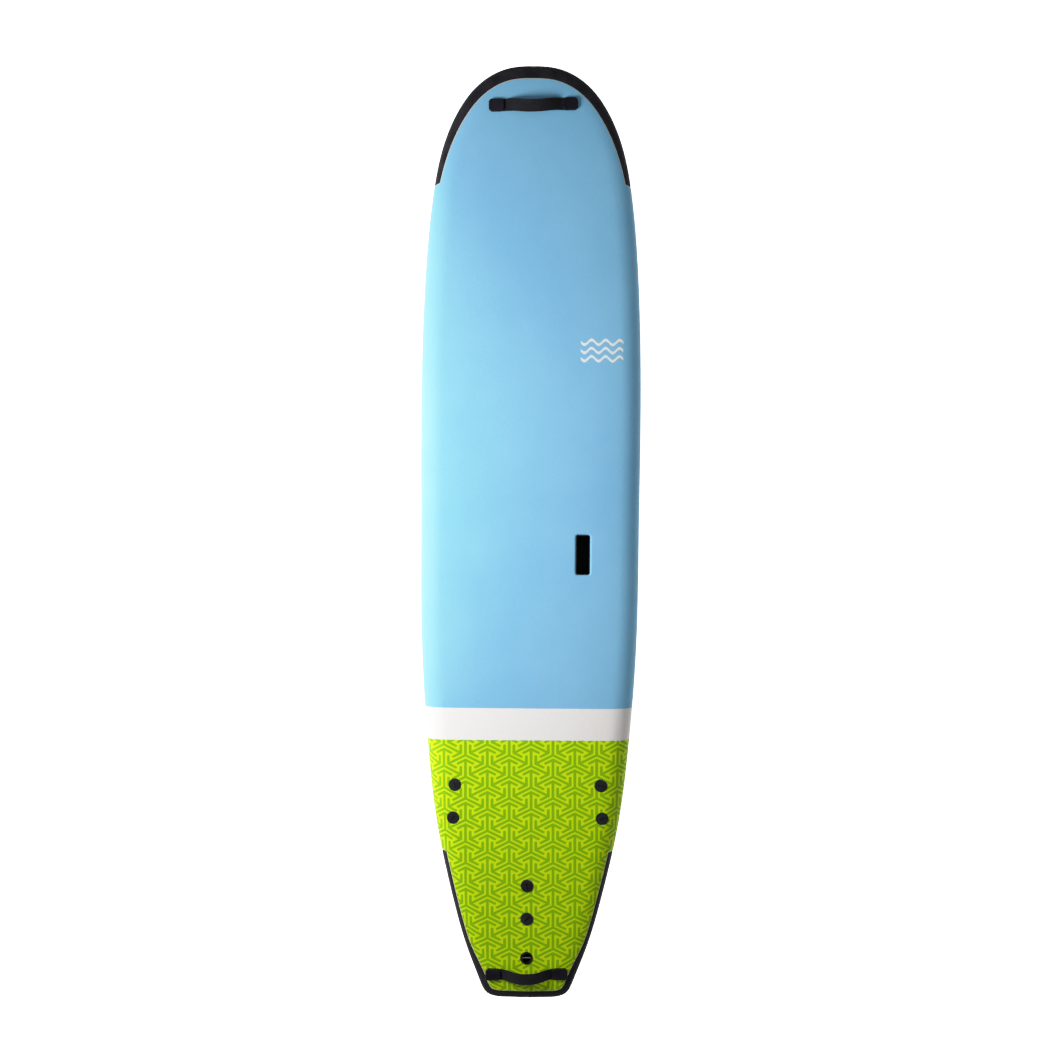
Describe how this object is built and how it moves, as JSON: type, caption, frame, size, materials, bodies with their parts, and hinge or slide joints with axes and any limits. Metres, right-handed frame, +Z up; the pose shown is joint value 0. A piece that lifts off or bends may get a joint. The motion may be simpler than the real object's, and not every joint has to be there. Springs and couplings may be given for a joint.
{
  "type": "soft top longboard surfboard",
  "caption": "Foam-decked longboard surfboard with rubber nose and tail bumpers, webbing strap handles, a recessed hand hole, a leash plug and screwed-on fins.",
  "frame": {"origin": "under mid-length on the centreline, level with the lowest fin tips", "axes": "+Y towards the nose, +X to the right of a rider facing the nose, +Z up out of the deck"},
  "size_m": [0.6562, 2.7428, 0.2737],
  "materials": {
    "foam_core": "expanded polystyrene foam, white, fine beads",
    "stringer_wood": "planed ply, unfinished",
    "deck_foam": "soft closed-cell foam sheet, matt, fine pebbled texture, light blue with a white band and a patterned green tail",
    "slick_bottom": "smooth polyethylene sheet, white, satin gloss",
    "bumper_rubber": "moulded rubber, satin black",
    "strap_webbing": "padded webbing, black, fine ribbed weave",
    "cap_plastic": "moulded rubber end cap, satin black",
    "fitting_nylon": "moulded nylon, dark grey",
    "cup_plastic": "moulded nylon, black, satin",
    "bolt_nylon": "moulded glass-filled nylon, black, satin",
    "washer_rubber": "soft sealing washer, black",
    "screw_steel": "stainless steel",
    "pin_steel": "polished stainless steel rod",
    "fin_plastic": "flexible moulded plastic, black, satin",
    "insert_brass": "turned brass, knurled outside"
  },
  "bodies": {
    "board": {"core_left": "foam_core", "core_centre": "foam_core", "core_right": "foam_core", "stringer_left": "stringer_wood", "stringer_right": "stringer_wood", "deck_skin": "deck_foam", "bottom_skin": "slick_bottom", "nose_bumper": "bumper_rubber", "tail_bumper": "bumper_rubber", "nose_strap_leg_left": "strap_webbing", "nose_strap_leg_right": "strap_webbing", "nose_strap_end_left": "strap_webbing", "nose_strap_end_right": "strap_webbing", "nose_cap_left": "cap_plastic", "nose_cap_right": "cap_plastic", "nose_strap_screws": "screw_steel", "nose_strap_anchors": "fitting_nylon", "tail_strap_leg_left": "strap_webbing", "tail_strap_leg_right": "strap_webbing", "tail_strap_end_left": "strap_webbing", "tail_strap_end_right": "strap_webbing", "tail_cap_left": "cap_plastic", "tail_cap_right": "cap_plastic", "tail_strap_screws": "screw_steel", "tail_strap_anchors": "fitting_nylon", "carry_cup": "cup_plastic", "leash_plug": "cup_plastic", "leash_pin": "pin_steel", "fin_left": "fin_plastic", "fin_right": "fin_plastic", "fin_centre": "fin_plastic", "fin_thread_inserts": "insert_brass", "fin_bolt_sleeves": "fitting_nylon"},
    "nose_strap": {"nose_strap_grip": "strap_webbing"},
    "tail_strap": {"tail_strap_grip": "strap_webbing"},
    "washer_left_front": {"fin_washer_left_front": "washer_rubber"},
    "bolt_left_front": {"fin_bolt_left_front": "bolt_nylon"},
    "washer_left_rear": {"fin_washer_left_rear": "washer_rubber"},
    "bolt_left_rear": {"fin_bolt_left_rear": "bolt_nylon"},
    "washer_right_front": {"fin_washer_right_front": "washer_rubber"},
    "bolt_right_front": {"fin_bolt_right_front": "bolt_nylon"},
    "washer_right_rear": {"fin_washer_right_rear": "washer_rubber"},
    "bolt_right_rear": {"fin_bolt_right_rear": "bolt_nylon"},
    "washer_centre_front": {"fin_washer_centre_front": "washer_rubber"},
    "bolt_centre_front": {"fin_bolt_centre_front": "bolt_nylon"},
    "washer_centre_rear": {"fin_washer_centre_rear": "washer_rubber"},
    "bolt_centre_rear": {"fin_bolt_centre_rear": "bolt_nylon"}
  },
  "joints": [
    {"name": "nose_strap_swing", "type": "hinge", "parent": "board", "child": "nose_strap", "pos_m": [0, 1.25489, 0.24373], "axis": [0.9997, 0.0261, 0.0019], "range_deg": [-59, 23], "stiffness_Nm_per_rad": 0.004, "deforming": ["nose_strap_leg_left", "nose_strap_leg_right"]},
    {"name": "tail_strap_swing", "type": "hinge", "parent": "board", "child": "tail_strap", "pos_m": [0, -1.29409, 0.19212], "axis": [0.9999, 0.0105, 0.0006], "range_deg": [-52, 30], "stiffness_Nm_per_rad": 0.004, "deforming": ["tail_strap_leg_left", "tail_strap_leg_right"]},
    {"name": "bolt_lift_left_front", "type": "slide", "parent": "board", "child": "washer_left_front", "axis": [0, 0, 1], "range_m": [0, 0.011]},
    {"name": "bolt_turn_left_front", "type": "hinge", "parent": "washer_left_front", "child": "bolt_left_front", "pos_m": [-0.21501, -0.73586, 0.19513], "axis": [0, 0, 1], "range_deg": [0, 1980]},
    {"name": "bolt_lift_left_rear", "type": "slide", "parent": "board", "child": "washer_left_rear", "axis": [0, 0, 1], "range_m": [0, 0.011]},
    {"name": "bolt_turn_left_rear", "type": "hinge", "parent": "washer_left_rear", "child": "bolt_left_rear", "pos_m": [-0.21979, -0.83374, 0.19076], "axis": [0, 0, 1], "range_deg": [0, 1980]},
    {"name": "bolt_lift_right_front", "type": "slide", "parent": "board", "child": "washer_right_front", "axis": [0, 0, 1], "range_m": [0, 0.011]},
    {"name": "bolt_turn_right_front", "type": "hinge", "parent": "washer_right_front", "child": "bolt_right_front", "pos_m": [0.21501, -0.73586, 0.19513], "axis": [0, 0, 1], "range_deg": [0, 1980]},
    {"name": "bolt_lift_right_rear", "type": "slide", "parent": "board", "child": "washer_right_rear", "axis": [0, 0, 1], "range_m": [0, 0.011]},
    {"name": "bolt_turn_right_rear", "type": "hinge", "parent": "washer_right_rear", "child": "bolt_right_rear", "pos_m": [0.21979, -0.83374, 0.19076], "axis": [0, 0, 1], "range_deg": [0, 1980]},
    {"name": "bolt_lift_centre_front", "type": "slide", "parent": "board", "child": "washer_centre_front", "axis": [0, 0, 1], "range_m": [0, 0.011]},
    {"name": "bolt_turn_centre_front", "type": "hinge", "parent": "washer_centre_front", "child": "bolt_centre_front", "pos_m": [0, -1.0324, 0.196], "axis": [0, 0, 1], "range_deg": [0, 1980]},
    {"name": "bolt_lift_centre_rear", "type": "slide", "parent": "board", "child": "washer_centre_rear", "axis": [0, 0, 1], "range_m": [0, 0.011]},
    {"name": "bolt_turn_centre_rear", "type": "hinge", "parent": "washer_centre_rear", "child": "bolt_centre_rear", "pos_m": [0, -1.1304, 0.1942], "axis": [0, 0, 1], "range_deg": [0, 1980]}
  ],
  "couplings": [
    {"joint": "bolt_turn_left_front", "follows": "bolt_lift_left_front", "rad_per_m": 3141.6},
    {"joint": "bolt_turn_left_rear", "follows": "bolt_lift_left_rear", "rad_per_m": 3141.6},
    {"joint": "bolt_turn_right_front", "follows": "bolt_lift_right_front", "rad_per_m": 3141.6},
    {"joint": "bolt_turn_right_rear", "follows": "bolt_lift_right_rear", "rad_per_m": 3141.6},
    {"joint": "bolt_turn_centre_front", "follows": "bolt_lift_centre_front", "rad_per_m": 3141.6},
    {"joint": "bolt_turn_centre_rear", "follows": "bolt_lift_centre_rear", "rad_per_m": 3141.6}
  ]
}
